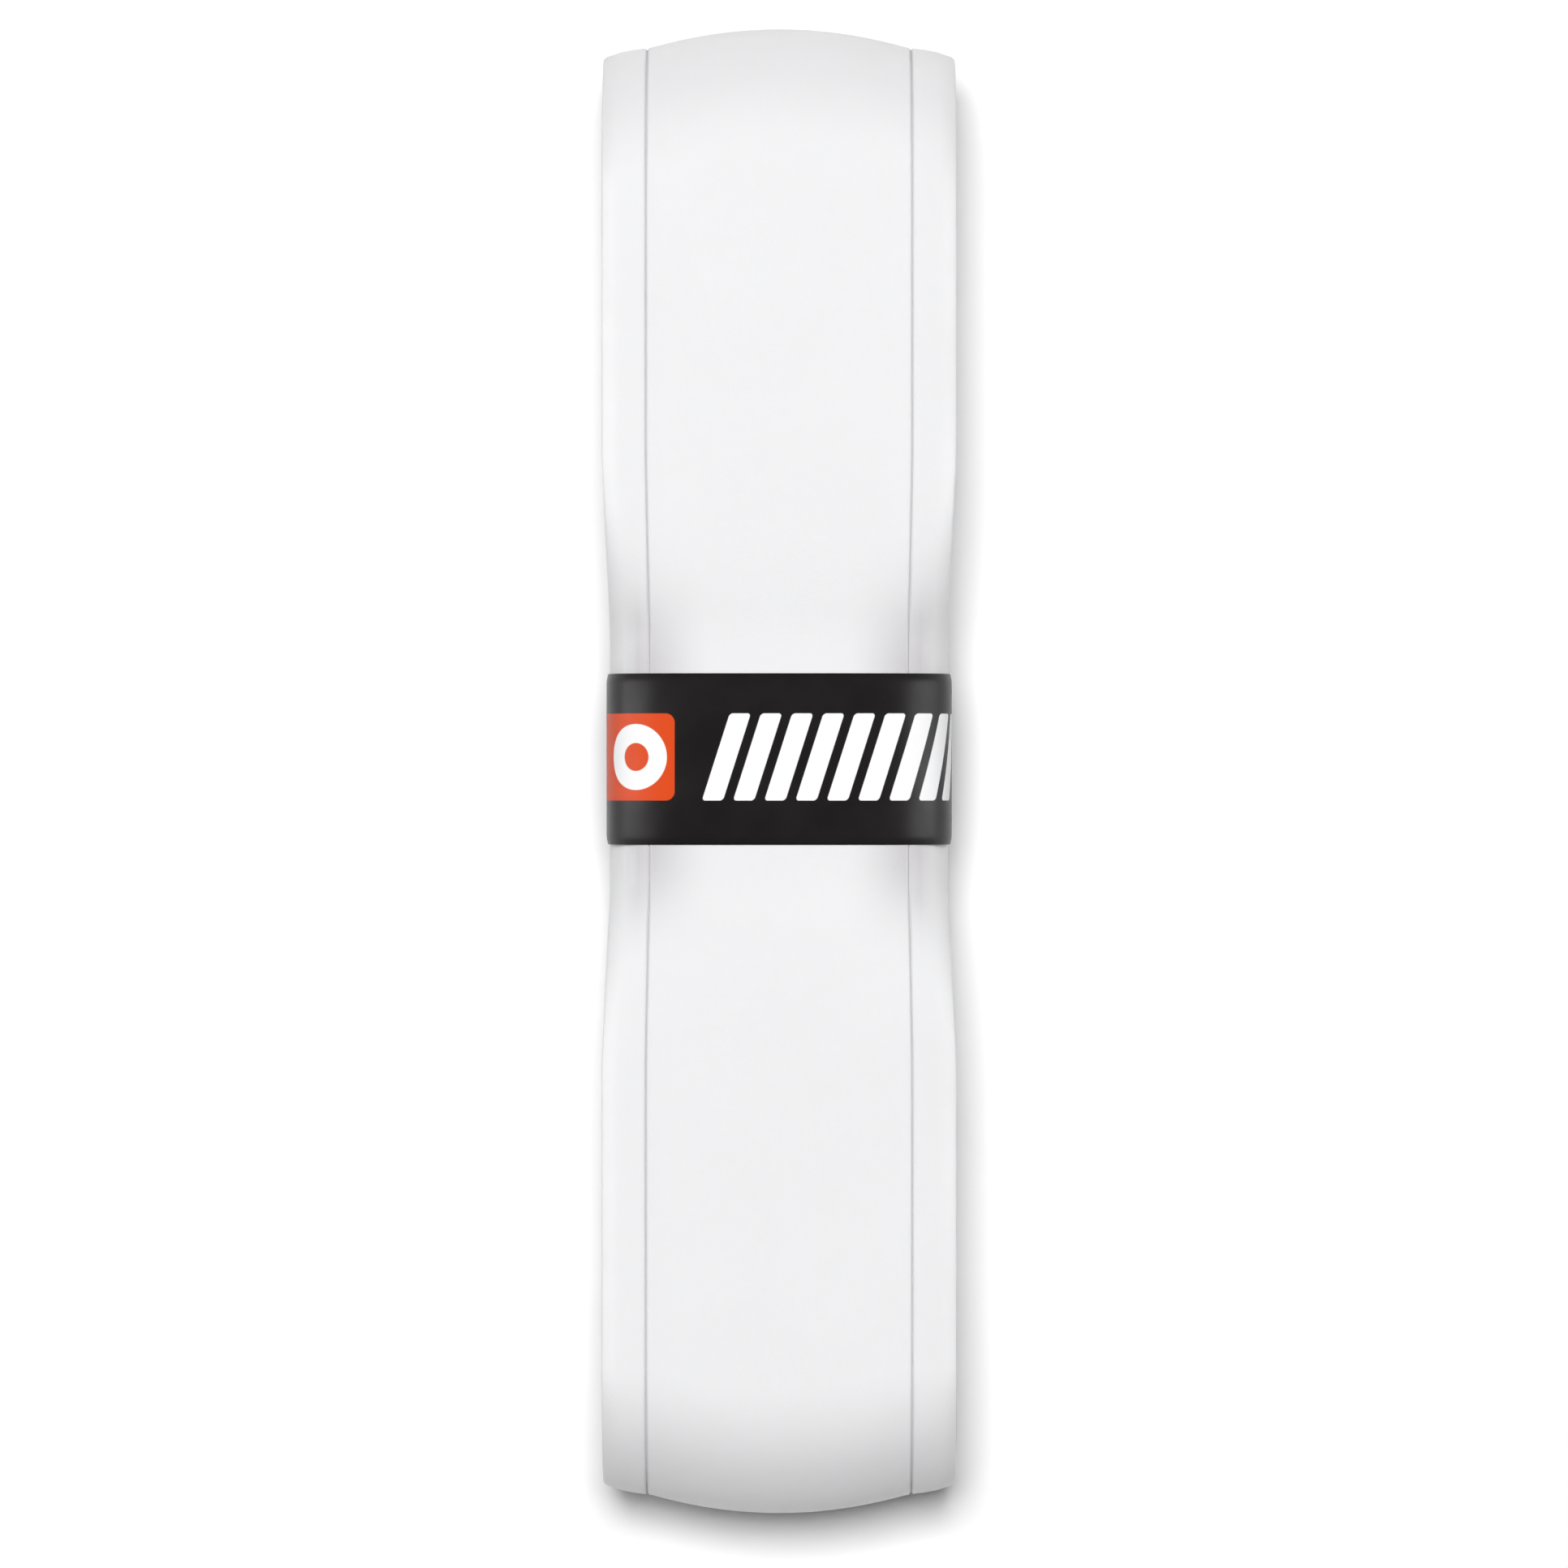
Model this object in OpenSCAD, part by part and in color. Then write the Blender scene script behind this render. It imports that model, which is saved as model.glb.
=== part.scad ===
// Replacement grip tape, wound flat into a hank and held at the waist by a printed sleeve.
// The hank lies on its back: X is the tape's width, Y runs along the hank, Z is up.
// Origin: the middle of the rectangle that the hank stands on.

/* [Tape] */
// Width of the tape
tape_w = 29; // [24:0.1:35]
// Width of the full-thickness panel between the two edge grooves
panel_w = 21.76; // [18:0.02:23]

/* [Laminate] */
// Thickness of the outer polyurethane skin
skin_t = 0.45; // [0.3:0.05:0.6]
// Thickness of the cushion under the skin
cushion_t = 1.05; // [0.85:0.01:1.3]
// Thickness left of the cushion at the tape's edges, where it is shaved thin
cushion_edge_t = 0.25; // [0.1:0.05:0.5]
// Thickness of the adhesive strip on the cushion's back
adhesive_t = 0.10; // [0.05:0.01:0.2]
// Thickness of the release liner over the adhesive
liner_t = 0.10; // [0.05:0.01:0.2]
// Air between two neighbouring layers
layer_gap = 0.025; // [0.02:0.005:0.05]

/* [Winding] */
// Pairs of a front run and a back run
pairs = 5; // [3:1:6]
// Length of the hank at the grooves, over both end folds
hank_l = 119.4; // [99:0.1:145]
// Further bulge of each end fold at the middle of the panel
end_crown = 1.61; // [0:0.01:2.5]
// Space left in the core for the finishing strip
core_gap = 1.1; // [0.9:0.01:2]
// Length of a fold's half-ellipse over its height
fold_stretch = 1.3; // [1:0.05:1.4]
// How far short of a fold the inner and the outer end of the tape are cut
cut_back = 3.6; // [2:0.1:14]
// Flat steps in each fold
fold_steps = 8; // [6:2:10]

/* [Waist] */
// Place of the sleeve's middle along the hank
sleeve_y = 0.94; // [-3:0.02:3]
// How far the sleeve can be nudged each way
sleeve_travel = 2; // [0:0.25:3]
// Half-length of the tape that the sleeve draws in
pinch_reach = 24.8; // [20:0.2:28]
// How far the sleeve draws each edge of the outermost runs in
waist_draw = 0.68; // [0.2:0.01:1.5]
// How much less it draws the runs near the core in
waist_spread = 0.16; // [0:0.01:0.2]
// How far the sleeve presses each face of the hank in
waist_press = 0.725; // [0.6:0.025:1.5]
// Power of the waist's rounded-box section
waist_power = 4; // [3:0.5:5]

/* [Sleeve] */
// Length of the sleeve along the hank
sleeve_l = 14.03; // [10:0.01:18]
// Thickness of the sleeve's film
sleeve_t = 0.15; // [0.1:0.01:0.2]
// Clearance of the sleeve all round the tape
sleeve_fit = 0.12; // [0.08:0.01:0.14]
// Width of the glued overlap at the sleeve's back
overlap_w = 7; // [4:0.5:9]
// Thickness of the glue in the overlap
overlap_glue_t = 0.04; // [0.03:0.01:0.06]

/* [Finishing strip] */
// Width of the finishing strip
strip_w = 19; // [15:0.5:20]
// Room left in the core at each end of the strip
strip_room = 4.6; // [3.2:0.1:20]
// Thickness of the strip's film
film_t = 0.13; // [0.08:0.01:0.16]
// Thickness of the strip's adhesive
film_adhesive_t = 0.06; // [0.04:0.01:0.08]
// Thickness of the strip's own liner
film_liner_t = 0.09; // [0.06:0.01:0.12]

/* [Hidden] */

half_w = tape_w / 2;
groove_x = panel_w / 2;
edge_drop = cushion_t - cushion_edge_t;
laminate_t = skin_t + cushion_t + adhesive_t + liner_t + 3 * layer_gap;
pitch = laminate_t + layer_gap;
hank_half_h = core_gap / 2 + pairs * pitch - layer_gap;

// The waist: what the sleeve leaves of the hank's half-width and half-height, and how far it reaches
waist_half_w = half_w - waist_draw;
waist_half_h = hank_half_h - waist_press;
waist_rim = 0.2;
waist_half_l = sleeve_l / 2 + sleeve_travel + waist_rim;

// Offsets of each layer's outer face from the middle of the laminate
skin_d = laminate_t / 2;
cushion_d = skin_d - skin_t - layer_gap;
adhesive_d = cushion_d - cushion_t - layer_gap;
liner_d = adhesive_d - adhesive_t - layer_gap;

// Where the folds start, so that both ends reach the same distance from the middle
plus_fold_y = hank_l / 2 - skin_d - fold_stretch * run_z(pairs);
minus_fold_y = hank_l / 2 - skin_d - fold_stretch * (run_z(pairs - 1) + pitch / 2);
cut_end_y = min(plus_fold_y, minus_fold_y) - cut_back;

// The ends of the core's pocket, inside the innermost folds
plus_pocket_y = plus_fold_y + fold_stretch * run_z(1) - laminate_t / 2;
minus_pocket_y = minus_fold_y + fold_stretch * (run_z(1) + pitch / 2) - laminate_t / 2;

// Colours
white_skin = [0.94, 0.94, 0.95];
pale_foam = [0.86, 0.86, 0.84];
clear_glue = [0.80, 0.78, 0.66];
liner_paper = [0.92, 0.88, 0.74];
black_film = [0.13, 0.12, 0.13];
strip_black = [0.18, 0.18, 0.19];

function mix(a, b, t) = a + (b - a) * t;
function unit(t) = min(1, max(0, t));
function smooth(t) = t * t * (3 - 2 * t);

// Distance of the middle of run k from the core's middle
function run_z(k) = core_gap / 2 + laminate_t / 2 + (k - 1) * pitch;

// A station on the wound path: y, z, then the outward direction in y and z
function straight(ys, z, out) = [for (y = ys) [y, z, 0, out]];

// One station at angle t on the half-ellipse of a fold; side is 1 for the +Y end and -1 for the other
function fold_station(side, fold_y, mid_z, r, t) =
    let (lean = norm([cos(t) / fold_stretch, sin(t)]))
    [side * (fold_y + fold_stretch * r * cos(t)), mid_z + r * sin(t),
        side * cos(t) / fold_stretch / lean, sin(t) / lean];
function plus_fold(k) = [for (i = [1 : fold_steps - 1])
    fold_station(1, plus_fold_y, 0, run_z(k), 90 - 180 * i / fold_steps)];
function minus_fold(k) = [for (i = [1 : fold_steps - 1])
    fold_station(-1, minus_fold_y, pitch / 2, run_z(k) + pitch / 2, -90 + 180 * i / fold_steps)];

// Stations along one run between its ends: each side of the waist, half drawn in, and free
waist_ys = [for (reach = [-pinch_reach, -(pinch_reach + waist_half_l) / 2, -waist_half_l,
    waist_half_l, (pinch_reach + waist_half_l) / 2, pinch_reach]) sleeve_y + reach];
function front_ys(k) = concat([k == 1 ? -cut_end_y : -minus_fold_y], waist_ys, [plus_fold_y]);
function back_ys(k) = concat([plus_fold_y], [for (i = [len(waist_ys) - 1 : -1 : 0]) waist_ys[i]],
    [k == pairs ? -cut_end_y : -minus_fold_y]);

// The whole path, from the inner cut end to the tail on the hank's back
wound_path = [for (k = [1 : pairs]) each concat(
    straight(front_ys(k), run_z(k), 1),
    plus_fold(k),
    straight(back_ys(k), -run_z(k), -1),
    k < pairs ? minus_fold(k) : [])];

// Share of the full pinch at y, and the bulge of the end folds at y and x
function pinch(y) = unit((pinch_reach - abs(y - sleeve_y)) / (pinch_reach - waist_half_l));
function crown(x, y) = sign(y) * end_crown * max(0, 1 - pow(x / groove_x, 2))
    * smooth(unit((abs(y) - cut_end_y) / cut_back));

// Where the sleeve leaves a point of the hank that is free at x, y, z
function waist_x(x, z) =
    x * (waist_half_w + waist_spread * (1 - pow(z / hank_half_h, 2))) / half_w;
box_half_x = waist_half_w + waist_spread + 0.02;
function box_z(x, half_x, half_z) =
    half_z * pow(max(0, 1 - pow(abs(x) / half_x, waist_power)), 1 / waist_power);
function held(x, y, z) =
    let (
        p = pinch(y),
        in_x = waist_x(x, z),
        in_z = z * box_z(in_x, box_half_x, waist_half_h) / hank_half_h
    )
    [mix(x, in_x, p), y + crown(x, y), hank_half_h + mix(z, in_z, p * p)];

// A layer's section: points [x, offset] along the outer face, then back along the inner one
panel_xs = [-groove_x, -groove_x / 2, 0, groove_x / 2, groove_x];
edge_xs = [-half_w, -(half_w + groove_x) / 2, each panel_xs, (half_w + groove_x) / 2, half_w];
function edge_fall(x) = edge_drop * pow(unit((abs(x) - groove_x) / (half_w - groove_x)), 2);
function layer_section(xs, outer_d, inner_d, outer_falls, inner_falls) = concat(
    [for (x = xs) [x, outer_d - (outer_falls ? edge_fall(x) : 0)]],
    [for (i = [len(xs) - 1 : -1 : 0]) [xs[i], inner_d - (inner_falls ? edge_fall(xs[i]) : 0)]]);

// Faces of a closed ring-by-ring skin; both faces of a layer are split along the same diagonals
function side_faces(rings, n) = [for (r = [0 : rings - 2], i = [0 : n - 1])
    let (
        a = r * n + i,
        b = r * n + (i + 1) % n,
        outer = i < n / 2
    )
    each outer ? [[a, b, b + n], [a, b + n, a + n]] : [[a, b, a + n], [b, b + n, a + n]]];
function cap_faces(first, n, flip) = [for (i = [0 : n / 2 - 2])
    let (
        quad = [first + i, first + n - 1 - i, first + n - 2 - i, first + i + 1],
        turned = flip ? [quad[3], quad[2], quad[1], quad[0]] : quad
    )
    each [[turned[0], turned[1], turned[2]], [turned[0], turned[2], turned[3]]]];

// One layer of the laminate, swept along the whole wound path
module wound_layer(section) {
    n = len(section);
    rings = len(wound_path);
    points = [for (s = wound_path, q = section) held(q[0], s[0] + q[1] * s[2], s[1] + q[1] * s[3])];
    polyhedron(points, concat(
        side_faces(rings, n),
        cap_faces(0, n, false),
        cap_faces((rings - 1) * n, n, true)), convexity = 20);
}

module grip_skin() {
    color(white_skin)
    wound_layer(layer_section(edge_xs, skin_d, skin_d - skin_t, true, true));
}

module grip_cushion() {
    color(pale_foam)
    wound_layer(layer_section(edge_xs, cushion_d, cushion_d - cushion_t, true, false));
}

module adhesive_strip() {
    color(clear_glue)
    wound_layer(layer_section(panel_xs, adhesive_d, adhesive_d - adhesive_t, false, false));
}

module release_liner() {
    color(liner_paper)
    wound_layer(layer_section(panel_xs, liner_d, liner_d - liner_t, false, false));
}

// The sleeve's inside half-sizes
sleeve_a = waist_half_w + waist_spread + sleeve_fit;
sleeve_b = waist_half_h + sleeve_fit;
lap_lift = sleeve_t + overlap_glue_t;

// A point of the rounded box at turn t (0 at +X, 270 at the middle of the back), lifted outwards
function box_point(t, lift) = [
    (sleeve_a + lift) * sign(cos(t)) * pow(abs(cos(t)), 2 / waist_power),
    (sleeve_b + lift) * sign(sin(t)) * pow(abs(sin(t)), 2 / waist_power)];
// The turn, measured from the middle of the back, at which the box has this x
function turn_at(x) = asin(pow(x / sleeve_a, waist_power / 2));

// The film climbs onto its own start over a short width beside the lap
climb_w = 1.5;
lap_turn = turn_at(overlap_w / 2);
climb_turn = turn_at(overlap_w / 2 + climb_w);
sleeve_steps = 72;
lap_steps = 4;
glue_gap = 0.002;

// Turns across the lap, or across a share of it
function lap_turns(share) = [for (i = [0 : lap_steps]) 270 - share * lap_turn * (1 - 2 * i / lap_steps)];

// The film starts at one side of the lap, goes once round and climbs over its own start
function film_side(lift) = concat(
    [for (i = [0 : sleeve_steps])
        box_point(270 - lap_turn + i * (360 + lap_turn - climb_turn) / sleeve_steps, lift)],
    [for (t = lap_turns(1)) box_point(t, lift + lap_lift)]);

module sleeve_prism(outline) {
    translate([0, sleeve_y + sleeve_l / 2, hank_half_h])
    rotate([90, 0, 0])
    linear_extrude(height = sleeve_l)
    polygon(outline);
}

module label_band() {
    inner = film_side(0);
    outer = film_side(sleeve_t);
    color(black_film)
    sleeve_prism(concat(inner, [for (i = [len(outer) - 1 : -1 : 0]) outer[i]]));
}

module band_glue() {
    turns = lap_turns(0.96);
    color(clear_glue)
    sleeve_prism(concat(
        [for (t = turns) box_point(t, sleeve_t + glue_gap)],
        [for (i = [len(turns) - 1 : -1 : 0]) box_point(turns[i], lap_lift - glue_gap)]));
}

// Air between the finishing strip's layers, and how far its adhesive stops short of the edges
strip_gap = 0.015;
strip_trim = 0.3;
strip_t = film_t + film_adhesive_t + film_liner_t + 2 * strip_gap;
strip_from_y = strip_room - minus_pocket_y;
strip_l = plus_pocket_y + minus_pocket_y - 2 * strip_room;

// One flat layer of the finishing strip, its underside z above the hank's middle height
module strip_layer(z, t, trim) {
    translate([trim - strip_w / 2, strip_from_y + trim, hank_half_h + z])
    cube([strip_w - 2 * trim, strip_l - 2 * trim, t]);
}

module finishing_film() {
    color(strip_black)
    strip_layer(strip_t / 2 - film_t, film_t, 0);
}

module finishing_adhesive() {
    color(clear_glue)
    strip_layer(-strip_t / 2 + film_liner_t + strip_gap, film_adhesive_t, strip_trim);
}

module finishing_liner() {
    color(liner_paper)
    strip_layer(-strip_t / 2, film_liner_t, 0);
}

grip_skin();
grip_cushion();
adhesive_strip();
release_liner();
label_band();
band_glue();
finishing_film();
finishing_adhesive();
finishing_liner();
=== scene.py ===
"""Replacement grip tape, wound flat into a hank and held at its waist by a printed sleeve.

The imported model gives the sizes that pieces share. The wound tape is one laminate of skin, cushion,
adhesive and liner, swept along one path of straight runs and end folds, then drawn in at the waist.
Lengths inside the classes are in millimetres, and a mesh gets its metres when it is made.
"""

import logging
import math
from dataclasses import dataclass
from enum import Enum

import bpy
import numpy as np
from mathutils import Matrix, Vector


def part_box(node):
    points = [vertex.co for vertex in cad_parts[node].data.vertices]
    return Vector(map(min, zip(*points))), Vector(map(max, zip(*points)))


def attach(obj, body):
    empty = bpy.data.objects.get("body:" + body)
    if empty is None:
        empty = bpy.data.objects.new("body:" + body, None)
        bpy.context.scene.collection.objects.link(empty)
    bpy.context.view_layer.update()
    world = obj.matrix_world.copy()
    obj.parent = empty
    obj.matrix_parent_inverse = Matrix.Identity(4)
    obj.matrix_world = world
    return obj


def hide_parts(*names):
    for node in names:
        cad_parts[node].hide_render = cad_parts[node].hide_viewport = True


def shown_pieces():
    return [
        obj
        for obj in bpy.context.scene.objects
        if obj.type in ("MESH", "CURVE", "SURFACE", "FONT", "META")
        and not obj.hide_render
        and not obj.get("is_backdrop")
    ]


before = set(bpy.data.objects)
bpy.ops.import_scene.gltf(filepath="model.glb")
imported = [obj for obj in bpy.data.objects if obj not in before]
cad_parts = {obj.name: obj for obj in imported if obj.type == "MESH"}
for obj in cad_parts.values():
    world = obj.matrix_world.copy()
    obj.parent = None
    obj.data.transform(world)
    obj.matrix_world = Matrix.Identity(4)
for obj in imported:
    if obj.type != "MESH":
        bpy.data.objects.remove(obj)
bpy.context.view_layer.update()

Colour = tuple[float, float, float]
Socket = bpy.types.NodeSocket
Piece = bpy.types.Object

MM = 0.001
UV_PER_MM = 0.01
PRINT_SPAN = 100.0
PINCH_PAST_SLEEVE = 2.2
LOG = logging.getLogger("grip_tape")


# ---- mesh tools


def smooth_step(t: np.ndarray) -> np.ndarray:
    """Rises smoothly from 0 at t = 0 to 1 at t = 1, and stays level outside."""
    t = np.clip(t, 0.0, 1.0)
    return t * t * (3.0 - 2.0 * t)


def bell(x: np.ndarray, width: float) -> np.ndarray:
    """A rounded bump of height 1 at x = 0 that has faded at about twice the width."""
    return np.exp(-((x / width) ** 2))


def run_length(a: np.ndarray, b: np.ndarray) -> np.ndarray:
    """The length of a line of points up to each of them."""
    return np.concatenate([[0.0], np.cumsum(np.hypot(np.diff(a), np.diff(b)))])


@dataclass
class Sweep:
    """A closed skin through rings of points, with both ends capped.

    Args:
        name: The object's name.
        rings: Points in millimetres, as rings x points x 3.
        masks: Named values from 0 to 1, each as rings x points.
        uv: Coordinates along and across the surface, as rings x (points + 1) x 2, or None.
        sharp_deg: The angle between faces past which their edge stays sharp.
    """

    name: str
    rings: np.ndarray
    masks: dict[str, np.ndarray]
    uv: np.ndarray | None = None
    sharp_deg: float = 40.0

    def build(self) -> Piece:
        """Makes the mesh object.

        Returns:
            The new object, linked to the scene.
        """
        count, size, _ = self.rings.shape
        ring = np.arange(count - 1)[:, None] * size
        near = np.arange(size)[None, :]
        far = (near + 1) % size
        quads = np.stack([ring + near, ring + far, ring + size + far, ring + size + near], axis=-1)
        faces = quads.reshape(-1, 4).tolist()
        faces.append(list(range(size))[::-1])
        faces.append([(count - 1) * size + i for i in range(size)])
        mesh = bpy.data.meshes.new(self.name)
        mesh.from_pydata((self.rings.reshape(-1, 3) * MM).tolist(), [], faces)
        for label, values in self.masks.items():
            layer = mesh.attributes.new(label, "FLOAT", "POINT")
            layer.data.foreach_set("value", values.astype(np.float32).ravel())
        if self.uv is not None:
            self._lay_uv(mesh)
        mesh.shade_smooth()
        mesh.set_sharp_from_angle(angle=math.radians(self.sharp_deg))
        mesh.update()
        piece = bpy.data.objects.new(self.name, mesh)
        bpy.context.scene.collection.objects.link(piece)
        return piece

    def _lay_uv(self, mesh: bpy.types.Mesh) -> None:
        """Writes the surface coordinates to the corners of the mesh.

        Args:
            mesh: The new mesh, with its faces in the order of build.
        """
        at = self.uv
        corners = np.stack([at[:-1, :-1], at[:-1, 1:], at[1:, 1:], at[1:, :-1]], axis=2)
        caps = np.concatenate([at[0, :-1][::-1], at[-1, :-1]])
        values = np.concatenate([corners.reshape(-1, 2), caps]).astype(np.float32)
        mesh.uv_layers.new(name="Surface").data.foreach_set("uv", values.ravel())


# ---- the wound tape


class Layer(Enum):
    """The four layers of the tape, named as their nodes are."""

    SKIN = "grip_skin"
    CUSHION = "grip_cushion"
    ADHESIVE = "adhesive_strip"
    LINER = "release_liner"


@dataclass(frozen=True)
class Laminate:
    """The tape's section, with offsets measured outwards from the middle of its thickness.

    Args:
        half_w: The skin's half-width. The other layers are narrower.
    """

    half_w: float
    groove_x: float = 10.88
    skin_t: float = 0.45
    cushion_t: float = 1.05
    cushion_edge_t: float = 0.25
    adhesive_t: float = 0.10
    liner_t: float = 0.10
    layer_gap: float = 0.025
    adhesive_half_w: float = 10.2
    liner_half_w: float = 12.0
    groove_depth: float = 0.155
    groove_w: float = 0.085
    lip_h: float = 0.03
    lip_reach: float = 2.6
    lip_spread: float = 1.6
    back_share: float = 0.25
    cushion_set_in: float = 0.08
    least_r: float = 0.02
    fine_step: float = 1.2
    plain_step: float = 2.0
    groove_clear: float = 0.7
    beside_groove: tuple[float, ...] = (0.08, 0.15, 0.24, 0.36, 0.55)

    @property
    def thickness(self) -> float:
        """The whole laminate's thickness at the panel."""
        return self.skin_t + self.cushion_t + self.adhesive_t + self.liner_t + 3 * self.layer_gap

    @property
    def pitch(self) -> float:
        """The distance from one turn to the next."""
        return self.thickness + self.layer_gap

    def fall(self, x: np.ndarray) -> np.ndarray:
        """How far the outer face has fallen at x, where the cushion is shaved towards the edges."""
        share = np.clip((np.abs(x) - self.groove_x) / (self.half_w - self.groove_x), 0.0, 1.0)
        return (self.cushion_t - self.cushion_edge_t) * share**2

    def groove(self, x: np.ndarray) -> np.ndarray:
        """The depth of the pressed grooves, with their soft lips.

        Args:
            x: Places across the tape.

        Returns:
            The depth at each place, negative where a lip stands up.
        """
        from_groove = np.abs(x) - self.groove_x
        reach, spread = self.lip_reach * self.groove_w, self.lip_spread * self.groove_w
        lips = bell(from_groove + reach, spread) + bell(from_groove - reach, spread)
        return self.groove_depth * bell(from_groove, self.groove_w) - self.lip_h * lips

    def faces_of(self, layer: Layer) -> tuple[float, float, float]:
        """A layer's place in the laminate.

        Args:
            layer: Which layer.

        Returns:
            The offsets of its outer and inner face, and its half-width.
        """
        skin_out = self.thickness / 2
        cushion_out = skin_out - self.skin_t - self.layer_gap
        adhesive_out = cushion_out - self.cushion_t - self.layer_gap
        liner_out = adhesive_out - self.adhesive_t - self.layer_gap
        places = {
            Layer.SKIN: (skin_out, skin_out - self.skin_t, self.half_w),
            Layer.CUSHION: (
                cushion_out, cushion_out - self.cushion_t, self.half_w - self.cushion_set_in
            ),
            Layer.ADHESIVE: (adhesive_out, adhesive_out - self.adhesive_t, self.adhesive_half_w),
            Layer.LINER: (liner_out, liner_out - self.liner_t, self.liner_half_w),
        }
        return places[layer]

    def stations_across(self, half_w: float, fine: bool) -> np.ndarray:
        """Places across the tape.

        Args:
            half_w: The face's half-width.
            fine: Whether the places lie close together beside the grooves.

        Returns:
            The places from one edge to the other.
        """
        step = self.fine_step if fine else self.plain_step
        places = list(np.linspace(-half_w, half_w, 2 * math.ceil(half_w / step) + 1))
        if fine:
            right = np.array(self.beside_groove)
            beside = np.concatenate([-right[::-1], [0.0], right])
            places = [x for x in places if abs(abs(x) - self.groove_x) > self.groove_clear]
            places += list(self.groove_x + beside) + list(-self.groove_x - beside)
        return np.array(sorted(places))

    def section(self, layer: Layer) -> tuple[np.ndarray, np.ndarray]:
        """The outline of one layer: over its outer face, round one edge, back, and round the other.

        Args:
            layer: Which layer.

        Returns:
            The places across the tape and the offsets, as two arrays of one length.
        """
        outer_d, inner_d, half_w = self.faces_of(layer)
        fall_out = self.fall if layer in (Layer.SKIN, Layer.CUSHION) else np.zeros_like
        fall_in = self.fall if layer is Layer.SKIN else np.zeros_like
        edge_out = outer_d - fall_out(np.array(half_w))
        edge_in = inner_d - fall_in(np.array(half_w))
        r = max(float(edge_out - edge_in) / 2, self.least_r)
        x_out = self.stations_across(half_w - r, layer is Layer.SKIN)
        x_in = self.stations_across(half_w - r, False)[::-1]
        d_out, d_in = outer_d - fall_out(x_out), inner_d - fall_in(x_in)
        if layer is Layer.SKIN:
            d_out = d_out - self.groove(x_out)
            d_in = d_in - self.back_share * self.groove(x_in)
        steps = 9 if layer is Layer.SKIN else 5
        turn = np.linspace(90, -90, steps)[1:-1] * math.pi / 180
        mid = float(edge_out + edge_in) / 2
        right_x, right_d = half_w - r + r * np.cos(turn), mid + r * np.sin(turn)
        left_x, left_d = -right_x[::-1], right_d[::-1]
        return (
            np.concatenate([x_out, right_x, x_in, left_x]),
            np.concatenate([d_out, right_d, d_in, left_d]),
        )


@dataclass(frozen=True)
class Waist:
    """Where the sleeve holds the hank, and how it draws the tape in.

    Args:
        mid_y: The sleeve's middle.
        half_l: How far each side of that the tape is fully drawn in.
        half_w: The free tape's half-width.
        half_h: The free hank's half-height.
    """

    mid_y: float
    half_l: float
    half_w: float
    half_h: float
    reach: float = 24.8
    draw: float = 0.68
    spread: float = 0.16
    press: float = 0.745
    edge_power: float = 3.5
    power: float = 4.0
    knee: float = 0.09
    dip: float = 2.7
    slack: float = 0.02

    def pinch(self, y: np.ndarray) -> np.ndarray:
        """The share of the full pinch: a straight ramp with rounded knees, full at half_l.

        Args:
            y: Places along the hank.

        Returns:
            The share at each place, from 0 to 1.
        """
        k = self.knee
        t = (1 + k) * (self.reach - np.abs(y - self.mid_y)) / (self.reach - self.half_l)
        ramp = np.where(t < -k, 0.0, np.where(t < k, (t + k) ** 2 / (4 * k), t))
        return np.where(t > 1 + k, 1.0, np.where(t > 1 - k, 1 - (1 + k - t) ** 2 / (4 * k), ramp))

    def hold(self, x: np.ndarray, y: np.ndarray, z: np.ndarray) -> tuple[np.ndarray, np.ndarray]:
        """Moves free points to where the sleeve leaves them.

        Args:
            x: Places across the tape.
            y: Places along the hank.
            z: Heights from the hank's middle.

        Returns:
            The new places across and the new heights.
        """
        p = self.pinch(y)
        depth = np.clip(1 - (z / self.half_h) ** 2, 0.0, 1.0)
        drawn = (self.draw - self.spread * depth) * np.abs(x / self.half_w) ** self.edge_power
        in_x = x - np.sign(x) * drawn
        box_half_x = self.half_w - self.draw + self.spread + self.slack
        share = np.clip(1 - (np.abs(in_x) / box_half_x) ** self.power, 0.0, None)
        box_z = (self.half_h - self.press) * share ** (1 / self.power)
        return x + (in_x - x) * p, z + (z * box_z / self.half_h - z) * p**self.dip


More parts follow.
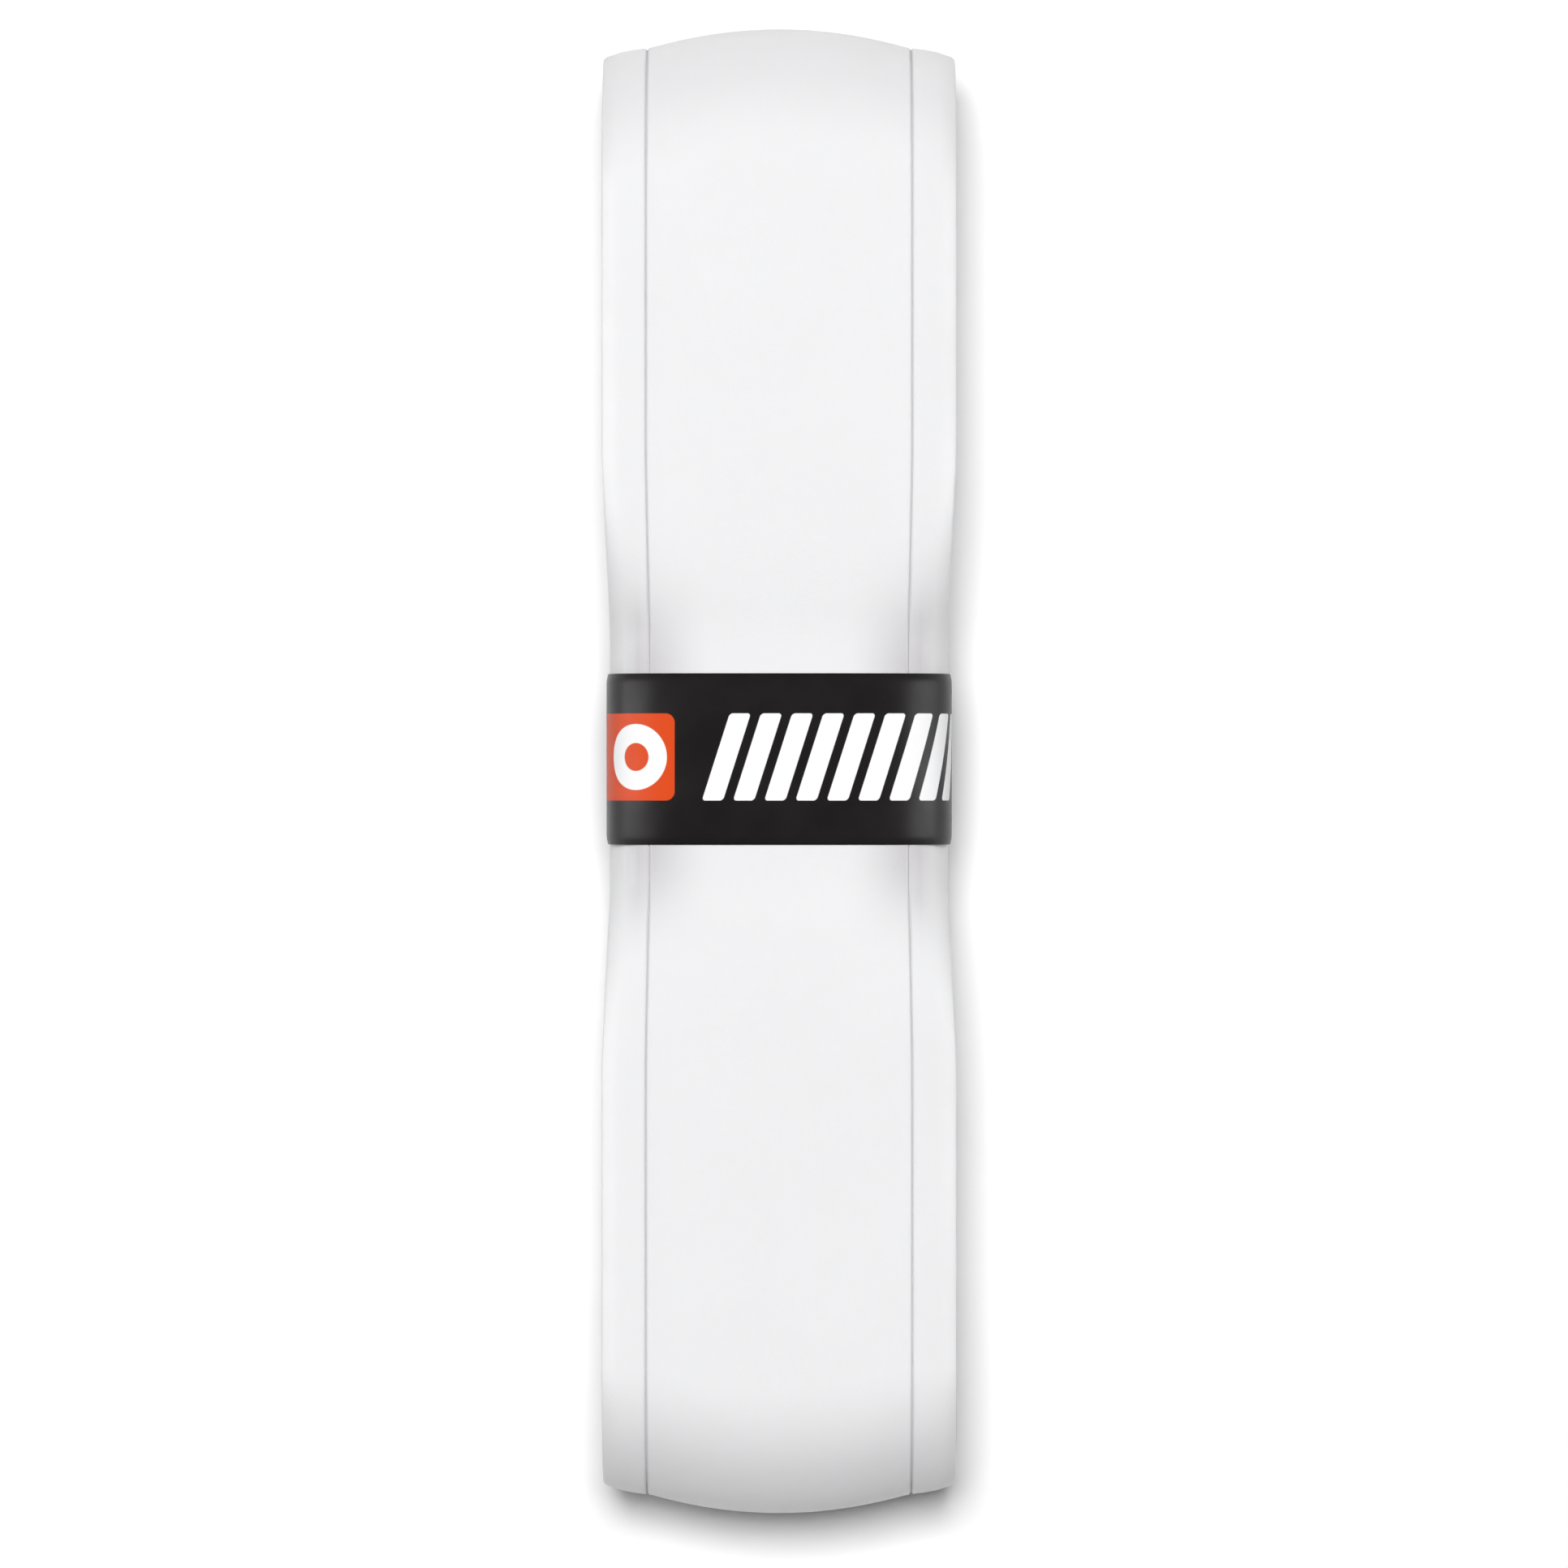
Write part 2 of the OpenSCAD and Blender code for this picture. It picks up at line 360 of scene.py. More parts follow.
@dataclass
class WoundTape:
    """The tape, wound flat from its inner end in the core to the tail on the hank's back.

    Args:
        laminate: The tape's section.
        waist: Where the sleeve draws it in.
        tip_y: How far the end folds reach from the middle.
        half_h: The hank's half-height.
    """

    laminate: Laminate
    waist: Waist
    tip_y: float
    half_h: float
    pairs: int = 5
    core_gap: float = 1.1
    fold_stretch: float = 1.3
    crown: float = 1.61
    cut_back: float = 3.6
    wander: float = 0.07
    slow_wave: float = 31.0
    quick_wave: float = 12.7
    true_l: float = 260.0
    waist_margin: float = 3.0
    # Where the painted shade lies on the skin beside the sleeve: how it fades along the hank and
    # where it lies across.
    pinch_shade_back: float = 2.0
    pinch_shade_fade: float = 5.1
    pinch_shade_from: float = 5.2
    pinch_shade_rise: float = 7.6
    pinch_shade_to: float = 12.0
    pinch_shade_fall: float = 1.4
    # Where the painted shade lies on the end folds.
    fold_shade_full: float = 0.6
    fold_shade_eases: float = 0.75
    # The width of the painted shade in the grooves.
    groove_mark: float = 1.7
    edge_w: float = 0.5
    body: str = "roll"

    def run_z(self, k: int) -> float:
        """The distance of run k's middle from the core's middle."""
        return self.core_gap / 2 + self.laminate.thickness / 2 + (k - 1) * self.laminate.pitch

    @property
    def plus_fold_y(self) -> float:
        """Where the folds at the +Y end start."""
        reach = self.tip_y - self.crown - self.laminate.thickness / 2
        return reach - self.fold_stretch * self.run_z(self.pairs)

    @property
    def minus_fold_y(self) -> float:
        """Where the folds at the -Y end start, as a distance."""
        reach = self.tip_y - self.crown - self.laminate.thickness / 2
        return reach - self.fold_stretch * (self.run_z(self.pairs - 1) + self.laminate.pitch / 2)

    @property
    def cut_end_y(self) -> float:
        """Where the inner and the outer end of the tape are cut, as a distance."""
        return min(self.plus_fold_y, self.minus_fold_y) - self.cut_back

    def run_places(self, start: float, end: float) -> np.ndarray:
        """Places along one run, close together where the waist bends it.

        Args:
            start: Where the run starts, at the -Y end.
            end: Where it ends, at the +Y end.

        Returns:
            The places in rising order.
        """
        mid, reach = self.waist.mid_y, self.waist.reach + self.waist_margin
        inner = self.waist.half_l - self.waist_margin
        near = np.linspace(inner, reach, 24)
        places = [mid - near[::-1], mid + np.linspace(-inner, inner, 7)[1:-1], mid + near]
        free_low = np.linspace(start, mid - reach, 7)[:-1]
        free_high = np.linspace(mid + reach, end, 8)[1:]
        return np.concatenate([free_low, *places, free_high])

    def fold(self, side: int, fold_y: float, mid_z: float, r: float) -> np.ndarray:
        """Stations round one end fold.

        Args:
            side: 1 for the +Y end, -1 for the other.
            fold_y: Where the fold starts, as a distance.
            mid_z: The height of the fold's middle.
            r: Its half-height.

        Returns:
            Rows of y, z and the outward direction in y and z.
        """
        steps = 16 + 2 * round(r)
        turn = np.linspace(90, -90, steps + 1)[1:-1] * math.pi / 180 * side
        lean = np.hypot(np.cos(turn) / self.fold_stretch, np.sin(turn))
        return np.stack(
            [
                side * (fold_y + self.fold_stretch * r * np.cos(turn)),
                mid_z + r * np.sin(turn),
                side * np.cos(turn) / self.fold_stretch / lean,
                np.sin(turn) / lean,
            ],
            axis=1,
        )

    def straight(self, places: np.ndarray, z: float, out: int) -> np.ndarray:
        """Stations along one straight run."""
        flat = np.zeros_like(places)
        return np.stack([places, flat + z, flat, flat + out], axis=1)

    def path(self) -> np.ndarray:
        """The whole wound path.

        Returns:
            Rows of y, z and the outward direction in y and z.
        """
        stretches = []
        for k in range(1, self.pairs + 1):
            first = -self.cut_end_y if k == 1 else -self.minus_fold_y
            last = -self.cut_end_y if k == self.pairs else -self.minus_fold_y
            z = self.run_z(k)
            stretches.append(self.straight(self.run_places(first, self.plus_fold_y), z, 1))
            stretches.append(self.fold(1, self.plus_fold_y, 0.0, z))
            stretches.append(self.straight(self.run_places(last, self.plus_fold_y)[::-1], -z, -1))
            if k < self.pairs:
                half = self.laminate.pitch / 2
                stretches.append(self.fold(-1, self.minus_fold_y, half, z + half))
        return np.concatenate(stretches)

    def length_along(self, path: np.ndarray) -> np.ndarray:
        """How much tape lies before each station."""
        return run_length(path[:, 0], path[:, 1])

    def drift(self, along: np.ndarray) -> np.ndarray:
        """How far the free tape wanders sideways. The outermost turn lies true.

        Args:
            along: How much tape lies before each station.

        Returns:
            The sideways shift at each station.
        """
        settle = smooth_step((along[-1] - along) / self.true_l - 0.9)
        waves = np.sin(along / self.slow_wave) + 0.6 * np.sin(along / self.quick_wave + 1.3)
        return self.wander * waves * settle

    def place(self, x: np.ndarray, y: np.ndarray, z: np.ndarray) -> np.ndarray:
        """Moves free points to where the waist and the end folds leave them.

        Args:
            x: Places across the tape.
            y: Places along the hank.
            z: Heights from the hank's middle.

        Returns:
            The points, with the hank standing on the ground.
        """
        held_x, held_z = self.waist.hold(x, y, z)
        bulge = self.crown * np.clip(1 - (x / self.laminate.groove_x) ** 2, 0.0, None)
        near_end = smooth_step((np.abs(y) - self.cut_end_y) / self.cut_back)
        return np.stack([held_x, y + np.sign(y) * bulge * near_end, held_z + self.half_h], axis=-1)

    def shoulder_shade(self, x: np.ndarray) -> np.ndarray:
        """How much painted shade lies across the tape at x: none in the middle, most past the
        grooves.
        """
        rise = smooth_step((np.abs(x) - self.pinch_shade_from) / self.pinch_shade_rise)
        return rise * (1 - 0.95 * smooth_step((np.abs(x) - self.pinch_shade_to) / self.pinch_shade_fall))

    def pinch_shade(self, y: np.ndarray) -> np.ndarray:
        """How much painted shade lies beside the sleeve at y: full next to it, then fading."""
        past = np.abs(y - self.waist.mid_y) - self.waist.half_l + self.pinch_shade_back
        return bell(np.clip(past, 0.0, None), self.pinch_shade_fade)

    def fold_shade_at(self, lean: np.ndarray) -> np.ndarray:
        """How much painted shade lies on the end folds where the skin's outward direction leans this
        far along the hank.
        """
        eased = smooth_step((np.abs(lean) - self.fold_shade_eases) / (1 - self.fold_shade_eases))
        return smooth_step(np.abs(lean) / self.fold_shade_full) * (1 - 0.6 * eased)

    def skin_masks(
        self, across: np.ndarray, path: np.ndarray, y: np.ndarray
    ) -> dict[str, np.ndarray]:
        """The values that the skin's finish reads from its mesh.

        Args:
            across: The section's places across the tape.
            path: The stations of the wound path.
            y: Places along the hank, as stations x points.

        Returns:
            The named values from 0 to 1, each as stations x points.
        """
        x = np.broadcast_to(across[None, :], y.shape)
        from_groove = np.abs(x) - self.laminate.groove_x
        from_edge = np.abs(x) - self.laminate.half_w
        return {
            # Where painted shade lies in the grooves.
            "groove": bell(from_groove, self.groove_mark * self.laminate.groove_w),
            "edge": smooth_step((from_edge + self.edge_w) / self.edge_w),
            # Painted shade on the skin's sides beside the sleeve, where the drawn-in tape turns away
            # from the light.
            "pinch_shade": self.pinch_shade(y) * self.shoulder_shade(x),
            # Painted shade on the end folds, kept in the mask named bend.
            "bend": self.fold_shade_at(np.broadcast_to(path[:, 2:3], y.shape)),
        }

    def build_layer(self, layer: Layer) -> Piece:
        """Sweeps one layer along the whole path.

        Args:
            layer: Which layer.

        Returns:
            The layer's object, riding on its body and standing for its node.
        """
        across, offset = self.laminate.section(layer)
        path = self.path()
        along = self.length_along(path)
        sideways = self.drift(along) * (1 - self.waist.pinch(path[:, 0]))
        x = across[None, :] + sideways[:, None]
        y = path[:, 0:1] + offset[None, :] * path[:, 2:3]
        z = path[:, 1:2] + offset[None, :] * path[:, 3:4]
        masks = self.skin_masks(across, path, y) if layer is Layer.SKIN else {}
        round_it = run_length(np.append(across, across[0]), np.append(offset, offset[0]))
        uv = np.stack(np.broadcast_arrays(round_it[None, :], along[:, None]), axis=-1) * UV_PER_MM
        piece = Sweep(f"tape_{layer.name.lower()}", self.place(x, y, z), masks, uv).build()
        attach(piece, self.body)
        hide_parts(layer.value)
        return piece

    def build(self) -> dict[Layer, Piece]:
        """Returns:
            The layers' objects.
        """
        pieces = {layer: self.build_layer(layer) for layer in Layer}
        length = float(self.length_along(self.path())[-1]) * MM
        for layer, piece in pieces.items():
            width = 2 * self.laminate.faces_of(layer)[2] * MM
            LOG.info("%s: %.1f mm wide, %.0f mm long", piece.name, width / MM, length / MM)
        return pieces

    @staticmethod
    def dress(pieces: dict[Layer, Piece], wardrobe: "Wardrobe") -> None:
        """Gives each layer its finish."""
        for layer, finish in zip(Layer, (SKIN, FELT, GLUE, PAPER)):
            wardrobe.dress(pieces[layer], finish)


# ---- the printed sleeve


@dataclass
class PrintedSleeve:
    """The film sleeve round the waist, glued where its ends lap at the back.

    Args:
        low: The lowest corner of the sleeve's node.
        high: Its highest corner.
        mid_z: The height of the hank's middle.
    """

    low: Vector
    high: Vector
    mid_z: float
    film_t: float = 0.15
    glue_t: float = 0.04
    lap_w: float = 7.0
    climb_w: float = 1.5
    power: float = 4.0
    rim_curl: float = 0.11
    rim_w: float = 0.4
    # How far in from each rim the painted shade reaches.
    rim_shade_w: float = 0.25
    samples: int = 6001
    stations: int = 300
    body: str = "band"

    @property
    def mid_y(self) -> float:
        """The sleeve's middle along the hank."""
        return (self.high.y + self.low.y) / MM / 2

    @property
    def half_l(self) -> float:
        """Half the sleeve's length along the hank."""
        return (self.high.y - self.low.y) / MM / 2

    @property
    def half_x(self) -> float:
        """The inside half-width."""
        return self.high.x / MM - self.film_t

    @property
    def half_z(self) -> float:
        """The inside half-height."""
        return self.high.z / MM - self.mid_z - self.film_t

    def turn_at(self, x: float) -> float:
        """The turn in degrees from the back's middle at which the film is x from the middle."""
        return math.degrees(math.asin((x / self.half_x) ** (self.power / 2)))

    def point(self, turn: np.ndarray, lift: np.ndarray) -> tuple[np.ndarray, np.ndarray]:
        """A place on the rounded box.

        Args:
            turn: Degrees, 0 at +X and 270 at the middle of the back.
            lift: How far outwards.

        Returns:
            The places across and the heights from the hank's middle.
        """
        c, s = np.cos(np.radians(turn)), np.sin(np.radians(turn))
        bend = 2 / self.power
        return (
            (self.half_x + lift) * np.sign(c) * np.abs(c) ** bend,
            (self.half_z + lift) * np.sign(s) * np.abs(s) ** bend,
        )

    def run_to(self, turn: np.ndarray, lift: float) -> np.ndarray:
        """How much film lies before each turn, measured this far outwards."""
        return run_length(*self.point(turn, np.full_like(turn, lift)))

    def turns(self) -> tuple[np.ndarray, np.ndarray]:
        """Stations round the film.

        Returns:
            The turns in degrees, evenly spaced along the film, and how far it has climbed at each.
        """
        lap, climb = self.turn_at(self.lap_w / 2), self.turn_at(self.lap_w / 2 + self.climb_w)
        fine = np.linspace(270 - lap, 630 + lap, self.samples)
        run = self.run_to(fine, 0.0)
        turn = np.interp(np.linspace(0, run[-1], self.stations), run, fine)
        lift = self.film_t + self.glue_t
        return turn, lift * smooth_step((turn - (630 - climb)) / (climb - lap))

    def section(self) -> tuple[np.ndarray, np.ndarray]:
        """The film's outline along the hank: out over one face, round a rim, and back.

        Returns:
            The places from the sleeve's middle and the lifts off the box, as two arrays.
        """
        half_l, r = self.half_l, self.film_t / 2
        face = np.array([1.0, 0.985, 0.965, 0.94, 0.9, 0.8, 0.6, 0.4, 0.2, 0.0])
        y_out = np.concatenate([-face, face[::-1][1:]]) * (half_l - r)
        turn = np.radians(np.linspace(90, -90, 7)[1:-1])
        rim_y, rim_d = half_l - r + r * np.cos(turn), r + r * np.sin(turn)
        y = np.concatenate([y_out, rim_y, y_out[::-1], -rim_y[::-1]])
        d = np.concatenate([0 * y_out + self.film_t, rim_d, 0 * y_out, rim_d[::-1]])
        curl = self.rim_curl * bell(half_l - np.abs(y), self.rim_w)
        return y, d - curl

    def build(self) -> Piece:
        """Makes the sleeve's film.

        Returns:
            The film's object, riding on its body and standing for its node.
        """
        turn, climb = self.turns()
        y, d = self.section()
        lift = climb[:, None] + d[None, :]
        x, z = self.point(turn[:, None] + 0 * lift, lift)
        rings = np.stack([x, self.mid_y + y[None, :] + 0 * x, self.mid_z + z], axis=-1)
        run = self.run_to(turn, self.film_t)
        across = np.interp(450.0, turn, run) - run
        outer = (d > self.film_t / 2 - self.rim_curl).astype(float)
        # Painted shade along both rims of the film, kept in the mask named rim.
        rim_shading = bell(self.half_l - np.abs(y), self.rim_shade_w)
        masks = {
            "wrap": np.broadcast_to(across[:, None], x.shape) / PRINT_SPAN + 0.5,
            "along": np.broadcast_to(y[None, :], x.shape) / PRINT_SPAN + 0.5,
            "face": np.broadcast_to(outer[None, :], x.shape),
            "rim": np.broadcast_to(rim_shading[None, :], x.shape),
        }
        piece = Sweep("sleeve_film", rings, masks).build()
        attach(piece, self.body)
        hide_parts("label_band")
        LOG.info("%s: %.1f mm of film round the waist", piece.name, run[-1])
        return piece

    @staticmethod
    def dress(piece: Piece, wardrobe: "Wardrobe") -> None:
        """Gives the film and the glue in its lap their finishes."""
        wardrobe.dress(piece, FILM)
        wardrobe.dress(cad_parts["band_glue"], GLUE)


# ---- the finishing strip


class StripLayer(Enum):
    """The layers of the finishing strip, named as their nodes are."""

    FILM = "finishing_film"
    ADHESIVE = "finishing_adhesive"
    LINER = "finishing_liner"


@dataclass
class FinishingStrip:
    """The short strip that closes a wrapped grip, packed flat in the core."""

    corner_r: float = 1.6
    soft_share: float = 0.3
    stations: int = 40
    body: str = "finishing_strip"

    def build_layer(self, layer: StripLayer) -> Piece:
        """Makes one layer, with rounded corners and softened edges.

        Args:
            layer: Which layer.

        Returns:
            The layer's object, riding on its body and standing for its node.
        """
        low, high = (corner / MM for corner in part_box(layer.value))
        half_w, t = (high.x - low.x) / 2, high.z - low.z
        bend, r = np.linspace(0, math.pi / 2, 9), self.corner_r
        end, side = r * (1 - np.sin(bend)), r * (1 - np.cos(bend))
        straight = np.linspace(low.y + r, high.y - r, self.stations)[1:-1]
        places = np.concatenate([low.y + end[::-1], straight, high.y - end])
        width = half_w - np.concatenate([side[::-1], 0 * straight, side])
        soft = self.soft_share
        across = np.array([-1, -0.6, -0.2, 0.2, 0.6, 1])
        inset = t * soft * np.array([1, 0, 0, 0, 0, 1])
        share = np.concatenate([across, [1, 1], across[::-1], [-1, -1]])
        inward = np.concatenate([inset, [0, 0], inset, [0, 0]])
        height = np.concatenate([np.ones(6), [1 - soft, soft], np.zeros(6), [soft, 1 - soft]])
        x = share[None, :] * width[:, None] - (np.sign(share) * inward)[None, :]
        y = places[:, None] + 0 * x
        z = low.z + t * height[None, :] + 0 * x
        rings = np.stack([(high.x + low.x) / 2 + x, y, z], axis=-1)
        piece = Sweep(f"strip_{layer.name.lower()}", rings, {}).build()
        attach(piece, self.body)
        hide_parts(layer.value)
        return piece

    def build(self) -> dict[StripLayer, Piece]:
        """Builds all three layers.

        Returns:
            The layers' objects.
        """
        return {layer: self.build_layer(layer) for layer in StripLayer}

    @staticmethod
    def dress(pieces: dict[StripLayer, Piece], wardrobe: "Wardrobe") -> None:
        """Gives each layer its finish."""
        for layer, finish in zip(StripLayer, (STRIP, GLUE, PAPER)):
            wardrobe.dress(pieces[layer], finish)


# ---- shader groups


class Graph:
    """A short way to add and join the nodes of one tree."""

    def __init__(self, tree: bpy.types.NodeTree) -> None:
        """Keeps the tree that the nodes go into."""
        self.tree = tree

    def add(self, kind: str, settings: dict | None = None, **inputs: object) -> bpy.types.Node:
        """Adds a node.

        Args:
            kind: The node's type name, without its ShaderNode prefix.
            settings: Properties of the node.
            inputs: Values or sockets for its inputs, an underscore standing for a space.

        Returns:
            The new node.
        """
        node = self.tree.nodes.new(f"ShaderNode{kind}")
        for key, value in (settings or {}).items():
            setattr(node, key, value)
        for key, value in inputs.items():
            self.feed(node.inputs[key.replace("_", " ")], value)
        return node

    def feed(self, socket: Socket, value: object) -> None:
        """Feeds an input.

        Args:
            socket: The input.
            value: The socket to join to it, or its value.
        """
        if isinstance(value, Socket):
            self.tree.links.new(value, socket)
        else:
            socket.default_value = value

    def math(self, operation: str, *values: object) -> Socket:
        """Adds one sum.

        Args:
            operation: The name of Blender's operation.
            values: Its values or sockets in their order.

        Returns:
            The result's socket.
        """
        node = self.add("Math", {"operation": operation})
        for socket, value in zip(node.inputs, values):
            self.feed(socket, value)
        return node.outputs[0]

    def mask(self, name: str) -> Socket:
        """The value that the mesh carries under this name."""
        return self.add("Attribute", {"attribute_name": name}).outputs["Fac"]

    def ramp(self, value: object, low: object, high: object) -> Socket:
        """Adds a smooth ramp.

        Args:
            value: What is measured.
            low: Where the ramp leaves 0.
            high: Where it reaches 1.

        Returns:
            The result's socket.
        """
        settings = {"interpolation_type": "SMOOTHSTEP"}
        node = self.add("MapRange", settings, Value=value, From_Min=low, From_Max=high)
        return node.outputs["Result"]

    def blend(self, share: object, a: object, b: object) -> Socket:
        """Adds a blend of two colours, each a socket or its red, green and blue.

        Args:
            share: How much of b shows, from 0 to 1.
            a: The first colour.
            b: The second colour.

        Returns:
            The blend's socket.
        """
        node = self.add("Mix", {"data_type": "RGBA"})
        for at, value in zip((0, 6, 7), (share, a, b)):
            self.feed(node.inputs[at], (*value, 1.0) if isinstance(value, tuple) else value)
        return node.outputs[2]


class GroupBook:
    """The shader groups that several finishes share, each built once."""

    def __init__(self) -> None:
        """Builds every group."""
        self.grain = self._fine_grain()
        self.mottle = self._soft_mottle()
        self.fibre = self._fibre()
        self.rounded_box = self._rounded_box()

    @staticmethod
    def _start(name: str, inputs: dict[str, float | None], *outputs: str) -> tuple:
        """Starts a group.

        Args:
            name: The group's name.
            inputs: Each input's first value, or None for a vector.
            outputs: The names of the values that it puts out.

        Returns:
            The tree, its graph, its inputs' sockets and its outputs' sockets.
        """
        tree = bpy.data.node_groups.new(name, "ShaderNodeTree")
        for label, value in inputs.items():
            kind = "NodeSocketVector" if value is None else "NodeSocketFloat"
            socket = tree.interface.new_socket(label, in_out="INPUT", socket_type=kind)
            if value is not None:
                socket.default_value = value
        for label in outputs:
            tree.interface.new_socket(label, in_out="OUTPUT", socket_type="NodeSocketFloat")
        start, end = tree.nodes.new("NodeGroupInput"), tree.nodes.new("NodeGroupOutput")
        return tree, Graph(tree), start.outputs, end.inputs

    def _fine_grain(self) -> bpy.types.NodeTree:
        """A fine pebbled grain, as on cast polyurethane.

        Returns:
            The group.
        """
        inputs = {"Vector": None, "Scale": 4000.0}
        tree, graph, at, out = self._start("fine_grain", inputs, "Height")
        cells = graph.add("TexVoronoi", {"feature": "SMOOTH_F1"}, Vector=at["Vector"],
                          Scale=at["Scale"], Smoothness=0.6)
        broken = graph.add("TexNoise", Vector=at["Vector"], Detail=3.0, Roughness=0.55,
                           Scale=graph.math("MULTIPLY", at["Scale"], 0.37))
        height = graph.math("MULTIPLY_ADD", broken.outputs["Fac"], 0.8, cells.outputs["Distance"])
        graph.feed(out["Height"], height)
        return tree

    def _soft_mottle(self) -> bpy.types.NodeTree:
        """Broad, faint patches, as handling and casting leave them.

        Returns:
            The group.
        """
        inputs = {"Vector": None, "Scale": 120.0, "Spread": 0.25}
        tree, graph, at, out = self._start("soft_mottle", inputs, "Mask")
        noise = graph.add("TexNoise", Vector=at["Vector"], Scale=at["Scale"], Detail=4.0,
                          Roughness=0.6)
        low, high = (graph.math(way, 0.5, at["Spread"]) for way in ("SUBTRACT", "ADD"))
        graph.feed(out["Mask"], graph.ramp(noise.outputs["Fac"], low, high))
        return tree

    def _fibre(self) -> bpy.types.NodeTree:
        """Matted short fibres, as in felt and in paper.

        Returns:
            The group.
        """
        inputs = {"Vector": None, "Scale": 900.0}
        tree, graph, at, out = self._start("matted_fibre", inputs, "Height", "Mask")
        fold_shaded = graph.add("TexNoise", Vector=at["Vector"], Detail=2.0,
                         Scale=graph.math("MULTIPLY", at["Scale"], 0.5))
        moved = graph.add("VectorMath", {"operation": "MULTIPLY_ADD"})
        swirl = (fold_shaded.outputs["Color"], (0.0012, 0.0012, 0.0012), at["Vector"])
        for socket, value in zip(moved.inputs, swirl):
            graph.feed(socket, value)
        strands = graph.add("TexNoise", {"noise_type": "RIDGED_MULTIFRACTAL"},
                            Vector=moved.outputs[0], Scale=at["Scale"], Detail=4.0)
        graph.feed(out["Height"], strands.outputs["Fac"])
        graph.feed(out["Mask"], graph.ramp(strands.outputs["Fac"], 0.2, 1.1))
        return tree

    def _rounded_box(self) -> bpy.types.NodeTree:
        """A printed box with rounded corners, 1 inside and 0 outside.

        Returns:
            The group.
        """
        numbers = ("Across", "Along", "Mid Across", "Mid Along", "Half Width", "Half Height",
                   "Corner", "Soft")
        tree, graph, at, out = self._start("printed_box", dict.fromkeys(numbers, 0.0), "Mask")
        squares = []
        for side, half in (("Across", "Half Width"), ("Along", "Half Height")):
            off = graph.math("ABSOLUTE", graph.math("SUBTRACT", at[side], at[f"Mid {side}"]))
            flat = graph.math("SUBTRACT", at[half], at["Corner"])
            past = graph.math("MAXIMUM", graph.math("SUBTRACT", off, flat), 0.0)
            squares.append(graph.math("POWER", past, 2.0))
        far = graph.math("SQRT", graph.math("ADD", *squares))
        share = graph.math("DIVIDE", graph.math("SUBTRACT", far, at["Corner"]), at["Soft"])
        clear = graph.add("Clamp", Value=graph.math("ADD", share, 0.5))
        graph.feed(out["Mask"], graph.math("SUBTRACT", 1.0, clear.outputs[0]))
        return tree


# ---- finishes


class Paint(Graph):
    """The nodes of one material, with its Principled shader and the shared groups."""

    def __init__(self, made: bpy.types.Material, book: GroupBook) -> None:
        """Finds the shader, and the piece's own coordinates in metres.

        Args:
            made: The material.
            book: The shared groups.
        """
        super().__init__(made.node_tree)
        self.book = book
        self.shader = made.node_tree.nodes["Principled BSDF"]
        self.at = self.add("TexCoord").outputs["Object"]

    def set(self, **inputs: object) -> None:
        """Sets or joins the shader's inputs, an underscore standing for a space."""
        for key, value in inputs.items():
            self.feed(self.shader.inputs[key.replace("_", " ")], value)

    def mottle(self, scale: float, spread: float) -> Socket:
        """Broad, faint patches, from 0 to 1."""
        tree = {"node_tree": self.book.mottle}
        return self.add("Group", tree, Vector=self.at, Scale=scale, Spread=spread).outputs["Mask"]

    def grain(self, scale: float) -> Socket:
        """The height of the fine grain."""
        tree = {"node_tree": self.book.grain}
        return self.add("Group", tree, Vector=self.at, Scale=scale).outputs["Height"]

    def fibre(self, scale: float) -> tuple[Socket, Socket]:
        """The height of the matted fibres, and their mask."""
        node = self.add("Group", {"node_tree": self.book.fibre}, Vector=self.at, Scale=scale)
        return node.outputs["Height"], node.outputs["Mask"]

    def bump(self, strength: float, distance: float, height: Socket) -> None:
        """Gives the shader a bump of this height."""
        node = self.add("Bump", Strength=strength, Distance=distance, Height=height)
        self.set(Normal=node.outputs["Normal"])


@dataclass(frozen=True)
class Finish:
    """The base of every finish: a name, a colour and a roughness."""

    name: str
    colour: Colour
    roughness: float

    def make(self, book: GroupBook) -> bpy.types.Material:
        """Makes the material.

        Args:
            book: The groups that its nodes place.

        Returns:
            The new material.
        """
        made = bpy.data.materials.new(self.name)
        made.use_nodes = True
        made.diffuse_color = (*self.colour, 1.0)
        paint = Paint(made, book)
        paint.set(Base_Color=(*self.colour, 1.0), Roughness=self.roughness)
        self.lay(paint)
        return made

    def lay(self, paint: Paint) -> None:
        """Lays the finish's own nodes."""
        raise NotImplementedError


